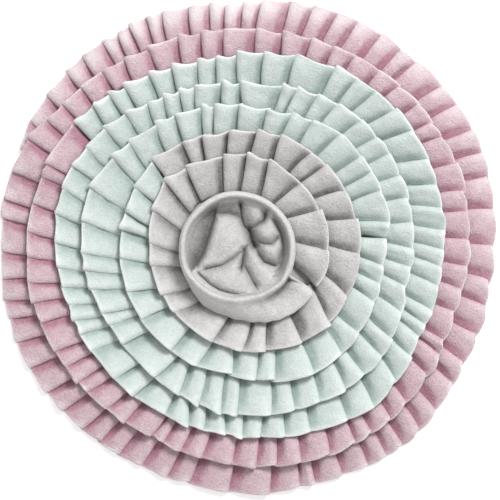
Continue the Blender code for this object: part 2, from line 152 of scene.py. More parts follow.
GREY_WAYS = (
    (137, 0.24, 4.0), (98.7, 0.24, 4.5), (85.3, 0.22, 5.5), (72.8, -0.06, 5.5),
    (56.5, 0.2, 4.5), (358, 0.24, 3.5), (335, 0.3, 4.5), (319, 0.42, 5.0), (300, 0.08, 12.5),
    (280.5, 0.24, 5.0), (249, 0.24, 3.5), (221, 0.24, 1.6), (158, 0.24, 1.6), (127, 0.24, 4.5),
    (104.5, 0.24, 5.0), (90, 0.2, 5.5), (75.5, 0.0, 5.5), (51.5, 0.22, 4.0), (0, 0.24, 3.5),
)

# Each strip: its piece, the node it stands for, its finish, its tables, its width from seam to
# cut edge, the painted shade of its cut edge, below 0 where it is painted lighter than its face,
# as a painted highlight and for its exposed fibres, the length it is cut to, in metres, how far
# its corners hook out, from and to, and how much of the grooves' painted shade by angle it
# takes, below 0 where it takes it the other way round.
Strip = namedtuple(
    "Strip", "piece node slot folds edge ways width edge_shade cut_length hook groove"
)

STRIPS = (
    Strip("pink_fleece_ruffle", "pink_ruffle", "pink_fleece", PINK_FOLDS, PINK_EDGE,
          PINK_WAYS, 45.0, -0.34, 4.20, (-2.2, 0.0), 1.0),
    Strip("mint_fleece_ruffle_outer", "mint_ruffle_outer", "mint_fleece", MINT_OUTER_FOLDS,
          MINT_OUTER_EDGE, MINT_OUTER_WAYS, 45.0, -0.36, 3.75, (-1.4, 1.4), 0.6),
    Strip("mint_fleece_ruffle_inner", "mint_ruffle_inner", "mint_fleece", MINT_INNER_FOLDS,
          MINT_INNER_EDGE, MINT_INNER_WAYS, 45.0, -0.34, 0.70, (-1.4, 1.4), 0.6),
    Strip("grey_fleece_ruffle", "grey_ruffle", "grey_fleece", GREY_FOLDS, GREY_EDGE,
          GREY_WAYS, 40.0, -0.16, 1.15, (-1.8, 1.0), -0.6),
)

# How the spiral lies, and how its cloth does
FIRST_ANGLE = PINK_FOLDS[0]
LIFT_AT = (0.0, 14.0, 28.0, 38.0, 45.0)  # distances out from the seam
LIFTS = (3.6, 5.6, 7.2, 7.2, 6.0)  # height of a fold over its foot there
PLEAT_SHARE = 0.80  # of the lift that one pleat takes up
CLEAR = 1.2  # between the turns
CLIMB = 11.0  # degrees over which the spiral climbs onto its own start
OFF_BELOW = (6.0, 18.0)  # steps between two turns over which a seam comes off the turn below
STRIP_PART = 2.2  # between the ends of two strips
OVERHANG_FROM = 0.45  # share of the width past which the outermost turn droops to the floor
FLOOR_GAP = 0.4
UNEVEN, DENT = 0.8, 17.0  # height and size of the soft dents in the cloth
SMALL_UNEVEN, SMALL_DENT = 0.48, 7.0  # and of the smaller ones
EDGE_UNEVEN, EDGE_DENT = 0.9, 9.0  # how far the cut edge strays, and over what length
EDGE_MOTTLE = 6.0  # size of the lighter spots along the cut edge's painted highlight
WRINKLE, WRINKLE_PITCH = 2.4, 8.0  # height and spacing of the wrinkles along the pleats
WRINKLE_AT_SEAM, WRINKLE_BEND = 0.4, 1.3  # share of them at the seam, and how they wander
PILE_DEPTH, PILE_SIZE = 0.16, 3.2  # the tufts' unevenness, and how far apart they are
SEED = 17

# The section of one pleat, from under the nose of its fold over its face to the foot and the
# riser: the share of the way to the next fold, millimetres further along, the share of the gap
# that it draws back where the fold gapes, its share of the lift where shut and where gaping,
# millimetres higher, its painted shade where shut and where gaping, from 0 on the face to 1
# down in the fold, below 0 a painted highlight round the crest, and how much of the corner's
# hook it takes at the cut edge.
SectionPoint = namedtuple(
    "SectionPoint", "along beside gape lift gape_lift rise shut_shade shade hook"
)

PLEAT = tuple(map(SectionPoint._make, (
    (0.0, 0.8, 0.0, 0.42, 0.26, 0.0, 0.6, 0.7, 1.0),
    (0.0, -1.4, 0.0, 0.5, 0.58, 0.0, 0.36, 0.16, 1.0),
    (0.0, 0.4, 0.0, 0.8, 0.92, 0.0, 0.0, -0.05, 0.85),
    (0.0, 3.8, 0.0, 1.12, 1.14, 0.4, -0.09, -0.07, 0.5),
    (0.4, 0.6, 0.1, 0.88, 0.96, 0.0, 0.1, 0.02, 0.0),
    (0.67, 0.0, 0.3, 0.66, 0.82, 0.0, 0.36, 0.1, 0.0),
    (0.84, 0.0, 0.5, 0.5, 0.18, 0.0, 0.62, 0.8, 0.0),
    (1.0, 0.6, 0.34, 0.38, -0.3, 0.0, 0.64, 1.0, 0.2),
    (1.0, 2.6, 0.0, 0.38, -0.08, 0.0, 0.64, 1.0, 0.7),
    (1.0, 2.0, 0.0, 0.45, 0.12, 0.0, 0.64, 1.0, 1.0),
)))
FOOT = 7  # the point of a section at its foot
CREST = (1, 2, 3)  # the points round the top of its fold
STATIONS = (0.0, 0.20, 0.36, 0.48, 0.58, 0.68, 0.78, 0.88, 0.95, 1.0)  # shares of the width
SHUT_FROM, SHUT_AT = 0.60, 1.0  # shares of the width over which a gaping fold shuts
CURL_FROM, HOOK_FROM = 0.70, 0.82  # and from which its corner curls up and hooks out
LEAN_ABOUT = 0.7  # the share of the width about which a fold leans along the row
FULL_PITCH = 12.0  # a pleat narrower than this has a narrower nose
MOST_OF_PITCH = 0.45  # the most of a pleat's width that it rises or gapes
FOLD_READ_AT = 8.0  # the fold angles hold this far in from the cut edge
INNER_SHADE = 0.30  # painted shade, deeper towards the seam under the turn above
FULL_GAPE = 5.0  # a fold that gapes less than this doesn't open all the way down
EDGE_FROM = 0.92  # share of the width from which the cut edge is painted lighter
HOOK_LIGHT = 0.35  # how much painted highlight a corner gets per millimetre that it hooks out
FULLNESS = ((0.0, 0.86), (60.0, 1.08), (125.0, 1.05), (180.0, 0.66), (235.0, 1.05),
            (300.0, 1.10), (360.0, 0.86))  # share of the lift, at these angles
# Painted light: how much lighter the first turn is painted towards its cut edge, at these angles.
PAINTED_LIGHT = ((0.0, 0.12), (45.0, 0.28), (100.0, 0.55), (145.0, 0.30), (190.0, 0.08), (300.0, 0.06),
        (360.0, 0.12))
PAINTED_LIGHT_FROM = 0.35  # share of the width from which it does
# Painted shade: the share of its depth that the painted shade in a shut fold's groove has at the
# cut edge, at these angles.
PAINTED_GROOVE_SHADE = ((0.0, 1.0), (95.0, 0.7), (140.0, 1.1), (170.0, 1.7), (245.0, 1.7), (285.0, 1.1),
           (360.0, 1.0))

# How the cut edge runs at these angles: how far it sags between two folds, below 0 where it
# bulges out, and how much further than the strip's own hook the corners stick out.
SAG, HOOK = 1, 2
EDGE_WAYS = (
    (0.0, -1.3, -0.8), (45.0, -0.4, -0.5), (75.0, 1.8, 1.0), (105.0, 2.4, 1.8),
    (140.0, 2.0, 1.4), (165.0, 0.8, 0.2), (225.0, 0.8, -0.4), (255.0, 1.2, -0.2),
    (285.0, 0.2, -0.3), (315.0, -1.2, -0.8), (360.0, -1.3, -0.8),
)

# How one fold strays from the even pleat: its share of the lift, the millimetres that it
# leans along the row, bows halfway and that its edge and its foot stick out, how far its face
# swells, how far its corner curls up and hooks outwards, how wide it gapes, the share of that
# which is left at the cut edge, how much lighter its cut edge is painted and how far that edge
# sags after it.
Stray = namedtuple("Stray", "lift lean bow edge foot swell curl hook gape held light sag")

# How far the folds stray at random, from and to. The lift, the gape and the sag are shares of
# what the tables give, and the hook is the strip's.
STRAYING = Stray(
    lift=(0.82, 1.16), lean=(-1.8, 1.8), bow=(-1.8, 1.8), edge=(-1.2, 1.2), foot=(-2.2, 0.6),
    swell=(-0.20, 0.30), curl=(0.0, 1.8), hook=None, gape=(0.85, 1.25), held=(-0.05, 0.30),
    light=(0.2, 1.5), sag=(0.3, 1.5),
)

# Folds that stray in their own way, for each strip: the fold's angle and how it strays.
ACCENTS = (
    {
        352.7: dict(gape=9.0, held=0.8, edge=-3.0),
        275.0: dict(gape=9.5, swell=0.3),
        265.5: dict(gape=10.0, swell=0.3),
        256.0: dict(gape=9.0),
    },
    {
        137.0: dict(hook=2.0, curl=2.6, light=2.5),
        127.0: dict(hook=2.4, curl=3.2, light=3.0),
        119.2: dict(hook=2.0, curl=3.0, light=3.0),
        112.5: dict(hook=2.6, curl=3.4, light=3.0),
        104.8: dict(hook=1.6, curl=2.4, light=2.0),
        268.0: dict(hook=0.4, curl=4.0, light=2.5),
        262.5: dict(hook=0.4, curl=4.0, light=2.5),
        98.5: dict(gape=9.0, held=0.3, swell=-0.3),
        91.8: dict(gape=9.0, held=0.1, lift=1.15),
        234.0: dict(swell=-0.55, lift=1.15, curl=2.5),
    },
    {
        4.5: dict(lift=1.25, curl=2.5, light=1.8, swell=0.5, edge=2.0),
        323.0: dict(swell=-0.2, edge=1.5),
        312.0: dict(lift=0.35, hook=0.0, swell=0.5, foot=0.0, gape=10.0),
        171.0: dict(held=0.25, lift=1.2, edge=1.5),
        163.0: dict(lift=1.2, swell=0.3, curl=3.0, held=0.3),
    },
    {
        121.5: dict(gape=5.0, held=0.4),
        112.0: dict(gape=4.8, held=0.8, curl=2.5),
        98.7: dict(gape=5.0, held=0.9, curl=3.0),
        85.3: dict(gape=6.0, held=0.9, curl=3.0),
        72.8: dict(gape=6.0, held=0.6),
        300.0: dict(held=0.1, lift=1.1, hook=0.5),
        319.0: dict(lift=1.1, hook=3.5, curl=3.0),
        104.5: dict(gape=5.0, held=0.6),
        90.0: dict(gape=6.0, held=0.8, curl=3.0, hook=2.5, light=2.0),
        75.5: dict(gape=6.0, held=0.7),
    },
)

# Rosette
ROSETTE_X, ROSETTE_Y = -10.3, -0.8
RIM_RADIUS = 57.3
CROWN_HEIGHT = 27.5  # of the gathered cloth inside the rim
TROUGH_SHADE = 0.060  # painted shade: how much deeper the colour gets per millimetre down a crease
CROWN_SHADE = 0.12  # painted shade, deeper inside the rim than on the strip
FLARE_RISE = 4.0  # how much higher the collar's edge lies where it spreads
FLARE_FULL = 12.0  # the spread at which it has risen that much
DISC_SIDES, BACKING_SIDES = 72, 40
CROWN_IN = 1.0  # how much narrower the gathered cloth is than the inside of the rim
WALL_FROM, WALL_SHARE, WALL_DROP = 0.90, 0.8, 0.8  # where, how nearly and how low it joins it
CREASE_POWER = 1.4  # how steeply a crease's sides fall
DROP_REACH = 3.0  # the drop is whole where a ring takes over 1 / 3 of the spread
ROSETTE_UNEVEN, CROWN_DENT, COLLAR_DENT = 0.5, 9.0, 12.0  # height and size of its soft dents
BORDER_ANGLE = -135.0  # where a disc's border starts

# The collar, as the end of the strip, at these angles round the rosette: how far it spreads,
# the share of the way from a skirt to a pleat that lies flat, and how far it drops.
Spread = namedtuple("Spread", "angle reach lie drop")

COLLAR = tuple(map(Spread._make, (
    (200.0, 0.0, 0.0, 0.0),
    (212.0, 0.8, 0.0, 0.0),
    (226.0, 3.5, 0.0, 0.0),
    (240.0, 6.6, 0.0, 0.0),
    (258.0, 7.8, 0.0, 0.0),
    (272.0, 11.5, 0.0, 0.0),
    (284.0, 16.0, 0.1, 0.0),
    (295.0, 20.5, 0.3, 0.6),
    (304.0, 24.0, 0.6, 1.4),
    (314.0, 27.0, 0.9, 1.6),
    (322.0, 28.8, 1.0, 0.8),
    (328.5, 29.8, 1.0, 0.0),
    (330.5, 29.8, 1.0, 1.0),
    (332.0, 28.5, 1.0, 6.0),
    (334.0, 0.0, 0.0, 0.0),
)))

# A turned section of the rosette's collar and rim, from its cut edge inwards: its radius and
# height without the spread, the share of the spread and of its rise that it takes as a
# skirt, its share of the spread, its height and its painted shade where it lies as a pleat,
# its painted shade as a skirt, below 0 where it is painted lighter, and its share of the
# rim's lean.
Ring = namedtuple("Ring", "radius height flare rise lain level crease shade lean")

RINGS = tuple(map(Ring._make, (
    (57.2, 13.6, 1.0, 1.0, 1.0, 18.6, -0.1, -0.1, 0.0),
    (57.4, 14.6, 0.96, 1.0, 0.96, 20.2, 0.0, 0.08, 0.0),
    (57.6, 17.0, 0.83, 0.95, 0.82, 20.6, 0.0, 0.05, 0.0),
    (57.6, 20.2, 0.68, 0.8, 0.62, 19.8, 0.05, 0.0, 0.1),
    (57.5, 23.4, 0.52, 0.6, 0.41, 18.6, 0.15, 0.0, 0.2),
    (57.4, 26.4, 0.38, 0.35, 0.23, 17.4, 0.4, 0.0, 0.4),
    (57.2, 29.2, 0.24, 0.15, 0.1, 15.4, 1.0, 0.0, 0.6),
    (56.8, 31.6, 0.12, 0.0, 0.01, 17.0, 1.0, 0.0, 0.8),
    (56.4, 33.8, 0.04, 0.0, 0.0, 28.0, 0.2, 0.0, 0.9),
    (55.6, 35.3, 0.0, 0.0, 0.0, 35.0, 0.0, 0.0, 1.0),
    (54.7, 36.0, 0.0, 0.0, 0.0, 36.0, 0.0, 0.0, 1.0),
    (53.8, 35.4, 0.0, 0.0, 0.0, 35.4, 0.08, 0.08, 1.0),
    (53.0, 33.6, 0.0, 0.0, 0.0, 33.6, 0.22, 0.22, 1.0),
    (52.3, 31.0, 0.0, 0.0, 0.0, 31.0, 0.36, 0.36, 1.0),
)))
# How far the rim strays from round, over what length, and the radius where that is read.
RIM_UNEVEN, RIM_BEND, RIM_READ_AT = 1.1, 34.0, 60.0
# How far the rim leans inwards where it runs out into the collar, at these angles.
RIM_LEANS = (
    (200.0, 0.0), (225.0, 2.5), (250.0, 5.0), (285.0, 5.5), (305.0, 3.5), (325.0, 0.0),
)

# The creases that gather the cloth inside the rim: a path of (x, y), its depth, and how wide
# it opens to the left and to the right of the way the path runs.
Crease = namedtuple("Crease", "path depth left right")

CREASES = (
    Crease(((-7, 47), (-6, 33), (-3, 23), (2, 19)), 15.0, 4.0, 4.0),
    Crease(((1, 20), (3, 14), (4, 9), (7, 3)), 20.0, 6.5, 5.0),
    Crease(((7, 3), (11, -6), (16, -13), (27, -17)), 13.0, 6.0, 2.2),
    Crease(((2, 19), (9, 23.5), (15, 27), (17, 30), (20, 40)), 12.0, 5.0, 3.2),
    Crease(((5, 12), (17, 5), (25, 5), (30, 11)), 10.0, 4.5, 2.2),
    Crease(((5, 9), (-1, 3), (-4, 0)), 11.0, 3.6, 2.6),
    Crease(((-4, 0), (-5.5, -13), (-7, -19)), 14.0, 5.0, 2.8),
    Crease(((-5, -13), (1, -22), (5, -30), (9, -36)), 9.0, 3.0, 6.0),
    Crease(((-4, 0), (-14, -8), (-25, -15), (-42, -19)), 9.0, 5.0, 2.0),
    Crease(((-51, -16), (-44.5, -5.5), (-41.5, 3), (-38, 13.6), (-35, 25), (-32, 35)),
           17.0, 17.0, 2.4),
    Crease(((-32, 35), (-20, 35.5), (-8, 31.5), (-5, 23)), 13.0, 13.0, 2.4),
    Crease(((28, 31), (34, 16), (36, 2), (30, -16)), 11.0, 15.0, 4.0),
    Crease(((-49, -24), (-37.5, -34.5), (-27.5, -40.5), (-7.5, -46.5), (12.5, -46.2),
            (28, -42), (38, -32)), 8.0, 2.4, 2.0),
)

# The crowns of the lobes between the creases.
Lobe = namedtuple("Lobe", "x y reach height")

LOBES = (
    Lobe(-22, 10, 17, 5.0),
    Lobe(4, 34, 8, 3.0),
    Lobe(17, 17, 8, 4.0),
    Lobe(21, -4, 8, 2.0),
    Lobe(11, -14, 8, 3.0),
    Lobe(19, -31, 11, 4.5),
    Lobe(-20, -30, 16, 4.5),
)

# Each fleece: its material's name, the property that holds its colour, the painted shade
# colour that its colour goes to down in the folds, how mottled its pile is, and the depth of
# the pile's relief.
Fleece = namedtuple("Fleece", "title colour fold mottle tooth")

FLEECES = {
    "pink_fleece": Fleece("Pink fleece", "pink", (0.50, 0.24, 0.32), 0.36, 2.4),
    "mint_fleece": Fleece("Mint fleece", "mint", (0.35, 0.445, 0.41), 0.24, 1.5),
    "grey_fleece": Fleece("Grey fleece", "grey", (0.14, 0.13, 0.125), 0.22, 1.7),
}
EDGE_LIGHT = 0.70  # how far towards white the cut edges go: their fibres and a painted highlight

# Studio, in metres
VIEW_CENTRE = (0.0025, -0.0005)
VIEW_LEVEL = 0.012  # the height at which the view has its width
FLOOR_SIDE, FLOOR_DROP = 6.0, 0.0002
KEY_PLACE, KEY_SIZE = (0.95, 1.5, 2.15), 1.1


def ramp(value, low, high):
    """Eased from 0 at low to 1 at high."""
    share = min(1.0, max(0.0, (value - low) / (high - low)))
    return share * share * (3.0 - 2.0 * share)


def mix(a, b, share):
    return a + (b - a) * share


def by_angle(table, angle, column=1):
    """The value that a table keyed by angle has at this angle."""
    columns = list(zip(*table))
    return float(np.interp(angle, columns[0], columns[column]))


def ripple(x, y, z, scale, seed=0.0):
    """Smooth unevenness from about -1 to 1, with features of this size in millimetres."""
    return noise.noise((x / scale + 13.7 * seed, y / scale - 7.1 * seed, z / scale))


def unwound(angles, sweep, angle):
    """Angles along the clockwise spiral as sweeps, degrees travelled since its outer end."""
    sweeps = []
    for at in angles:
        sweep += (angle - at) % 360.0
        angle = at
        sweeps.append(sweep)
    return sweeps


class Spiral:
    """The cut edge's way round the mat, and how the turns lie on each other."""

    def __init__(self, sizes):
        self.cloth = sizes.cloth_thickness / MM
        self.lift_share = sizes.pleat_lift / MM / max(LIFTS)
        self.folds, self.ways, self.edge_sweeps, self.radii = [], [], [], []
        fold_sweep = edge_sweep = 0.0
        fold_angle = edge_angle = FIRST_ANGLE
        for strip in STRIPS:
            folds = unwound(strip.folds, fold_sweep, fold_angle)
            fold_sweep, fold_angle = folds[-1], strip.folds[-1]
            self.folds.append(folds)
            angles, *ways = zip(*strip.ways)
            self.ways.append((unwound(angles, folds[0], strip.folds[0]), *ways))
            angles, radii = zip(*strip.edge)
            self.edge_sweeps += unwound(angles, edge_sweep, edge_angle)
            edge_sweep, edge_angle = self.edge_sweeps[-1], angles[-1]
            self.radii += radii
        self.inner_from = self.folds[-1][0]
        self.collar_from = fold_sweep + fold_angle - COLLAR_FOLD

    def edge_radius(self, sweep):
        return float(np.interp(sweep, self.edge_sweeps, self.radii))

    def way(self, number, sweep, column):
        """What the strip's table of ways gives at this sweep, LEAN or GAPE."""
        return float(np.interp(sweep, self.ways[number][0], self.ways[number][column]))

    def width(self, sweep):
        return STRIPS[0].width if sweep < self.inner_from else STRIPS[-1].width

    def lift(self, out):
        """Height of a full pleat's fold over its foot, this far out from its seam."""
        return self.lift_share * float(np.interp(out, LIFT_AT, LIFTS))

    def layer(self, out):
        """Height that a whole turn of pleats takes up."""
        return self.lift(out) + self.cloth + CLEAR

    def rest_height(self, sweep, out):
        """Height of a turn's underside over the floor, this far out from its seam."""
        out = max(out, 0.0)
        seam = (BACKING_BOX[1].z - BACKING_BOX[0].z) / MM + FLOOR_GAP
        alone = mix(seam, FLOOR_GAP, ramp(out / STRIPS[0].width, OVERHANG_FROM, 1.0))
        below = sweep - 360.0
        presence = ramp(below, -CLIMB, 0.0)
        if presence == 0.0:
            return alone
        step = self.edge_radius(below) - self.edge_radius(sweep)
        step += self.width(sweep) - self.width(below)
        on_seam = self.rest_height(below, 0.0) + self.layer(0.0)
        if out < step:
            own_seam = mix(on_seam, seam, ramp(step, *OFF_BELOW))
            stacked = mix(own_seam, on_seam, out / step)
        else:
            lapped = out - max(step, 0.0)
            stacked = self.rest_height(below, lapped) + self.layer(lapped)
        return mix(alone, stacked, presence)


def place(sweep, radius, height):
    """A point given in degrees and millimetres, in metres."""
    angle = math.radians(FIRST_ANGLE - sweep)
    return radius * math.cos(angle) * MM, radius * math.sin(angle) * MM, height * MM


def strays(spiral, number, rng):
    """How each fold of a strip strays."""
    strip = STRIPS[number]
    own = []
    for angle, sweep in zip(strip.folds, spiral.folds[number]):
        drawn = Stray(*(rng.uniform(*ends) for ends in STRAYING._replace(hook=strip.hook)))
        drawn = drawn._replace(
            lift=drawn.lift * by_angle(FULLNESS, angle),
            hook=drawn.hook + by_angle(EDGE_WAYS, angle, HOOK),
            gape=drawn.gape * spiral.way(number, sweep, GAPE),
            sag=drawn.sag * by_angle(EDGE_WAYS, angle, SAG),
        )
        own.append(drawn._replace(**ACCENTS[number].get(angle, {})))
    return own


def leaned(spiral, number, sweep, share, back=0.0):
    """Where the fold that reaches the cut edge at this sweep lies at a share of the width."""
    inward = (1.0 - share) * STRIPS[number].width
    back += spiral.way(number, sweep, LEAN) * (inward - FOLD_READ_AT)
    return sweep - math.degrees(back / (spiral.edge_radius(sweep) - inward))


def pleat_shade(strip, point, share, sweep, opened, light):
    """Painted shade of a point down in a fold, below 0 where it is painted lighter than the face.
    """
    angle = (FIRST_ANGLE - sweep) % 360.0
    groove = mix(1.0, by_angle(PAINTED_GROOVE_SHADE, angle), share * strip.groove)
    shade = mix(point.shut_shade * groove, point.shade, opened)
    shade = min(1.0, shade + INNER_SHADE * (1.0 - share))
    if sweep < 360.0:
        shade -= by_angle(PAINTED_LIGHT, angle) * ramp(share, PAINTED_LIGHT_FROM, 1.0)
    return mix(shade, strip.edge_shade * light, ramp(share, EDGE_FROM, 1.0))


def pleat_section(spiral, number, share, stray, following, fold, next_fold, ends):
    """One pleat's section at a share of the width, as points and their painted shades."""
    strip = STRIPS[number]
    out = share * strip.width
    inward = strip.width - out
    radius = spiral.edge_radius(fold) - inward
    pitch = math.radians(next_fold - fold) * radius
    tight = min(1.0, pitch / FULL_PITCH)
    lift = PLEAT_SHARE * stray.lift * min(spiral.lift(out), MOST_OF_PITCH * pitch)
    shut = ramp(share, SHUT_FROM, SHUT_AT)
    places, shades = [], []
    for k, point in enumerate(PLEAT):
        corner = stray if point.along == 0.0 else following
        gap = min(corner.gape, MOST_OF_PITCH * pitch)
        opened = 1.0 - (1.0 - max(corner.held, 0.0)) * shut
        opened *= min(1.0, gap / FULL_GAPE)
        offset = point.beside * tight - point.gape * max(gap, FULL_GAPE) * opened
        sweep = fold + math.degrees((point.along * pitch + offset) / radius)
        mid = 4.0 * point.along * (1.0 - point.along)  # 1 halfway to the next fold

        reach = mix(stray.edge, following.foot, point.along) - stray.sag * mid
        reach *= share * share
        reach += point.hook * corner.hook * ramp(share, HOOK_FROM, 1.0)
        at = min(sweep, spiral.edge_sweeps[-1])
        far = spiral.edge_radius(at) - inward + reach

        rest = spiral.rest_height(min(max(at, ends[0]), ends[1]), out)
        height = rest + 0.5 * spiral.cloth + point.rise * tight
        height += mix(point.lift, point.gape_lift, opened) * lift
        height += stray.swell * lift * mid
        if k in CREST:
            height += stray.curl * ramp(share, CURL_FROM, 1.0)
        along = math.radians(sweep) * radius / WRINKLE_PITCH
        wrinkle = WRINKLE * mix(WRINKLE_AT_SEAM, 1.0, share) * (1.0 - point.shade)
        height += wrinkle * noise.noise((along, WRINKLE_BEND * share, number))

        x, y, z = (c / MM for c in place(sweep, far, height))
        height += UNEVEN * ripple(x, y, z, DENT, number)
        height += SMALL_UNEVEN * ripple(x, y, z, SMALL_DENT, seed=3.0)
        far += EDGE_UNEVEN * ripple(x, y, z, EDGE_DENT, number + 5) * share
        places.append(place(sweep, far, height))
        # How much lighter the cut edge is painted here, more where the corner hooks out
        light = stray.light + HOOK_LIGHT * max(corner.hook, 0.0) * point.hook
        light += ripple(x, y, z, EDGE_MOTTLE, seed=9.0)
        shades.append(pleat_shade(strip, point, share, sweep, opened, light))
    return places, shades


def pleated_strip(spiral, number, rng):
    """A strip's points, row by row from its seam to its cut edge, and their painted shades."""
    starts = spiral.folds[number]
    last = spiral.folds[number + 1][0] if number + 1 < len(STRIPS) else spiral.collar_from
    last -= math.degrees(STRIP_PART / spiral.edge_radius(last))
    own = strays(spiral, number, rng)
    places, shades = [], []
    for share in STATIONS:
        folds = []
        for sweep, stray in zip(starts, own):
            strayed = stray.lean * (LEAN_ABOUT - share) + stray.bow * math.sin(math.pi * share)
            folds.append(leaned(spiral, number, sweep, share, strayed))
        folds.append(leaned(spiral, number, last, share))
        for stray, following, *span in zip(own, own[1:] + own[-1:], folds, folds[1:]):
            section = pleat_section(
                spiral, number, share, stray, following, *span, (starts[0], folds[-1])
            )
            places += section[0]
            shades += section[1]
        # The strip ends at its last foot
        del places[FOOT + 1 - len(PLEAT) :], shades[FOOT + 1 - len(PLEAT) :]
    return places, shades


def grid_faces(rows, columns):
    """The faces between the points of a grid that is given row by row."""
    return [
        (low, low + 1, low + columns + 1, low + columns)
        for row in range(rows - 1)
        for low in range(row * columns, (row + 1) * columns - 1)
    ]


def cloth_object(name, points, faces, shades, thickness, material):
    """A mesh of one layer of cloth given its thickness, rounded and shaded smooth."""
    mesh = bpy.data.meshes.new(name)
    mesh.from_pydata(points, [], faces)
    # Painted light and shade at each point: deeper in folds and creases, lighter at edges
    shade = mesh.attributes.new("fold_shade", "FLOAT", "POINT")
    shade.data.foreach_set("value", shades)
    mesh.materials.append(material)
    made = bpy.data.objects.new(name, mesh)
    bpy.context.scene.collection.objects.link(made)
    bpy.ops.object.select_all(action="DESELECT")
    made.select_set(True)
    bpy.context.view_layer.objects.active = made
    wall = made.modifiers.new("Thickness", "SOLIDIFY")
    wall.thickness = thickness
    wall.offset = 0.0
    bpy.ops.object.modifier_apply(modifier=wall.name)
    rounding = made.modifiers.new("Rounding", "SUBSURF")
    rounding.levels = rounding.render_levels = 1
    bpy.ops.object.modifier_apply(modifier=rounding.name)
    bpy.ops.object.shade_smooth()
    raise_pile(made.data)
    return made


def raise_pile(mesh):
    """Move each point of a finished cloth along its normal by the pile's unevenness."""
    count = len(mesh.vertices)
    places, normals = np.empty(3 * count), np.empty(3 * count)
    mesh.vertices.foreach_get("co", places)
    mesh.vertices.foreach_get("normal", normals)
    places, normals = places.reshape(-1, 3), normals.reshape(-1, 3)
    tufts = [ripple(*(place_of / MM), PILE_SIZE) for place_of in places]
    places += normals * (PILE_DEPTH * MM * np.array(tufts))[:, None]
    mesh.vertices.foreach_set("co", places.ravel())
    mesh.update()


def add_ruffle(spiral, number, sizes, material):
    """Pleat one strip and lay it along its part of the spiral."""
    strip = STRIPS[number]
    rng = np.random.default_rng(SEED + number)
    points, shades = pleated_strip(spiral, number, rng)
    faces = grid_faces(len(STATIONS), len(points) // len(STATIONS))
    piece = cloth_object(strip.piece, points, faces, shades, sizes.cloth_thickness, material)
    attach(piece, BODY)
    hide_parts(strip.node)


# Shader node groups and materials


def feed(tree, node, values):
    """Set a node's inputs to these values, or link them where a socket is given."""
    for label, value in values.items():
        if isinstance(value, bpy.types.NodeSocket):
            tree.links.new(value, node.inputs[label])
        else:
            node.inputs[label].default_value = value


def add_node(tree, kind, values=None, **settings):
    """A new node with these settings, its inputs fed with these values."""
    node = tree.nodes.new(kind)
    for name, value in settings.items():
        setattr(node, name, value)
    feed(tree, node, values or {})
    return node


def worked_out(tree, operation, *values, clamp=False):
    """The result of a Math node on these values."""
    values = dict(enumerate(values))
    node = add_node(tree, "ShaderNodeMath", values, operation=operation, use_clamp=clamp)
    return node.outputs[0]


def ranged(tree, value, low, high, ends=(0.0, 1.0)):
    """A value that runs from 0 to 1, or between its own ends, made to run from low to high."""
    values = {"Value": value, "From Min": ends[0], "From Max": ends[1], "To Min": low,
              "To Max": high}
    return add_node(tree, "ShaderNodeMapRange", values).outputs["Result"]


def blended(tree, share, a, b):
    """The colour at this share of the way from a to b."""
    values = {"Factor": share, "A": a, "B": b}
    return add_node(tree, "ShaderNodeMix", values, data_type="RGBA").outputs["Result"]


def clouded(tree, where, scale, detail=2.0, roughness=0.5, distortion=0.0):
    """Soft noise from 0 to 1."""
    values = {"Vector": where, "Scale": scale, "Detail": detail, "Roughness": roughness,
              "Distortion": distortion}
    return add_node(tree, "ShaderNodeTexNoise", values).outputs["Fac"]


def bumped(tree, height, strength, distance):
    values = {"Height": height, "Strength": strength, "Distance": distance}
    return add_node(tree, "ShaderNodeBump", values).outputs["Normal"]


def new_material(name, values):
    """A new material, its shader fed with these values, and its object coordinates."""
    material = bpy.data.materials.new(name)
    material.use_nodes = True
    tree = material.node_tree
    shader = tree.nodes["Principled BSDF"]
    feed(tree, shader, values)
    return material, shader, add_node(tree, "ShaderNodeTexCoord").outputs["Object"]


def fleece_group():
    """Short brushed pile: tufts, a soft mottle, painted shade in the folds, painted light."""
    group = bpy.data.node_groups.new("Fleece pile", "ShaderNodeTree")
    for label, kind, default in (
        ("Vector", "Vector", (0.0, 0.0, 0.0)),
        ("Colour", "Color", (0.8, 0.8, 0.8, 1.0)),
        ("Fold colour", "Color", (0.4, 0.4, 0.4, 1.0)),
        ("Edge colour", "Color", (1.0, 1.0, 1.0, 1.0)),
        ("Fold", "Float", 0.0),
        ("Tuft scale", "Float", 460.0),
        ("Mottle", "Float", 0.5),
    ):
        kind = "NodeSocket" + kind
        socket = group.interface.new_socket(label, in_out="INPUT", socket_type=kind)
        socket.default_value = default
    for label, kind in (("Colour", "Color"), ("Height", "Float"), ("Roughness", "Float")):
        group.interface.new_socket(label, in_out="OUTPUT", socket_type="NodeSocket" + kind)

    given = add_node(group, "NodeGroupInput").outputs
    where, fold = given["Vector"], given["Fold"]
    tufts = clouded(group, where, given["Tuft scale"], 5.0, 0.68, 0.6)
    values = {"Vector": where, "Scale": 900.0}
    clumps = add_node(group, "ShaderNodeTexVoronoi", values, feature="SMOOTH_F1")
    both = worked_out(group, "MULTIPLY_ADD", clouded(group, where, 130.0, 3.0), 0.5, tufts)
    thin = ranged(group, both, 1.0, 0.0, (0.60, 0.90))
    patchy = worked_out(group, "MULTIPLY", thin, given["Mottle"])
    # Painted shade and the pile's mottle draw the colour towards the painted fold shade
    deep = worked_out(group, "MULTIPLY_ADD", fold, 0.80, patchy, clamp=True)
    colour = blended(group, deep, given["Colour"], given["Fold colour"])
    # Below 0 painted light draws it towards white, at the cut edges also for their fibres
    edge = worked_out(group, "MULTIPLY", fold, -1.6, clamp=True)
    add_node(group, "NodeGroupOutput", {
        "Colour": blended(group, edge, colour, given["Edge colour"]),
        "Height": worked_out(group, "MULTIPLY_ADD", clumps.outputs["Distance"], -0.45, tufts),
        "Roughness": ranged(group, tufts, 0.80, 1.0),
    })
    return group


